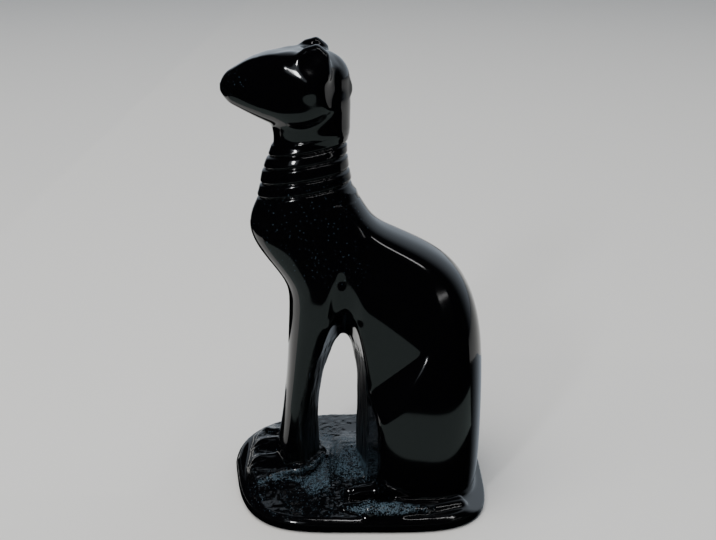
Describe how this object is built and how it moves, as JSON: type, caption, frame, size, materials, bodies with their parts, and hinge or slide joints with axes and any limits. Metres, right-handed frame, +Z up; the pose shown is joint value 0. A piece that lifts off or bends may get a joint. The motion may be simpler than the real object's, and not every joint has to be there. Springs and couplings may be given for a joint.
{
  "type": "cat statue",
  "caption": "Small seated cat figure with a ringed collar, carved in one piece with a rounded flat plinth, for standing on a shelf or table.",
  "frame": {"origin": "on the flat underside of the plinth, at the middle of its outline, below the gap between the front legs and the haunches", "axes": "+Z up, from the underside of the plinth to the ears. The cat looks along -X. Its tail lies on the plinth along the -Y side, which is the side the picture shows"},
  "size_m": [0.0678, 0.0553, 0.1184],
  "materials": {
    "obsidian": "polished black obsidian, left frosted and tool-marked between the legs and on the ground under them"
  },
  "bodies": {
    "root": {"cat_statue": "obsidian"}
  },
  "joints": []
}
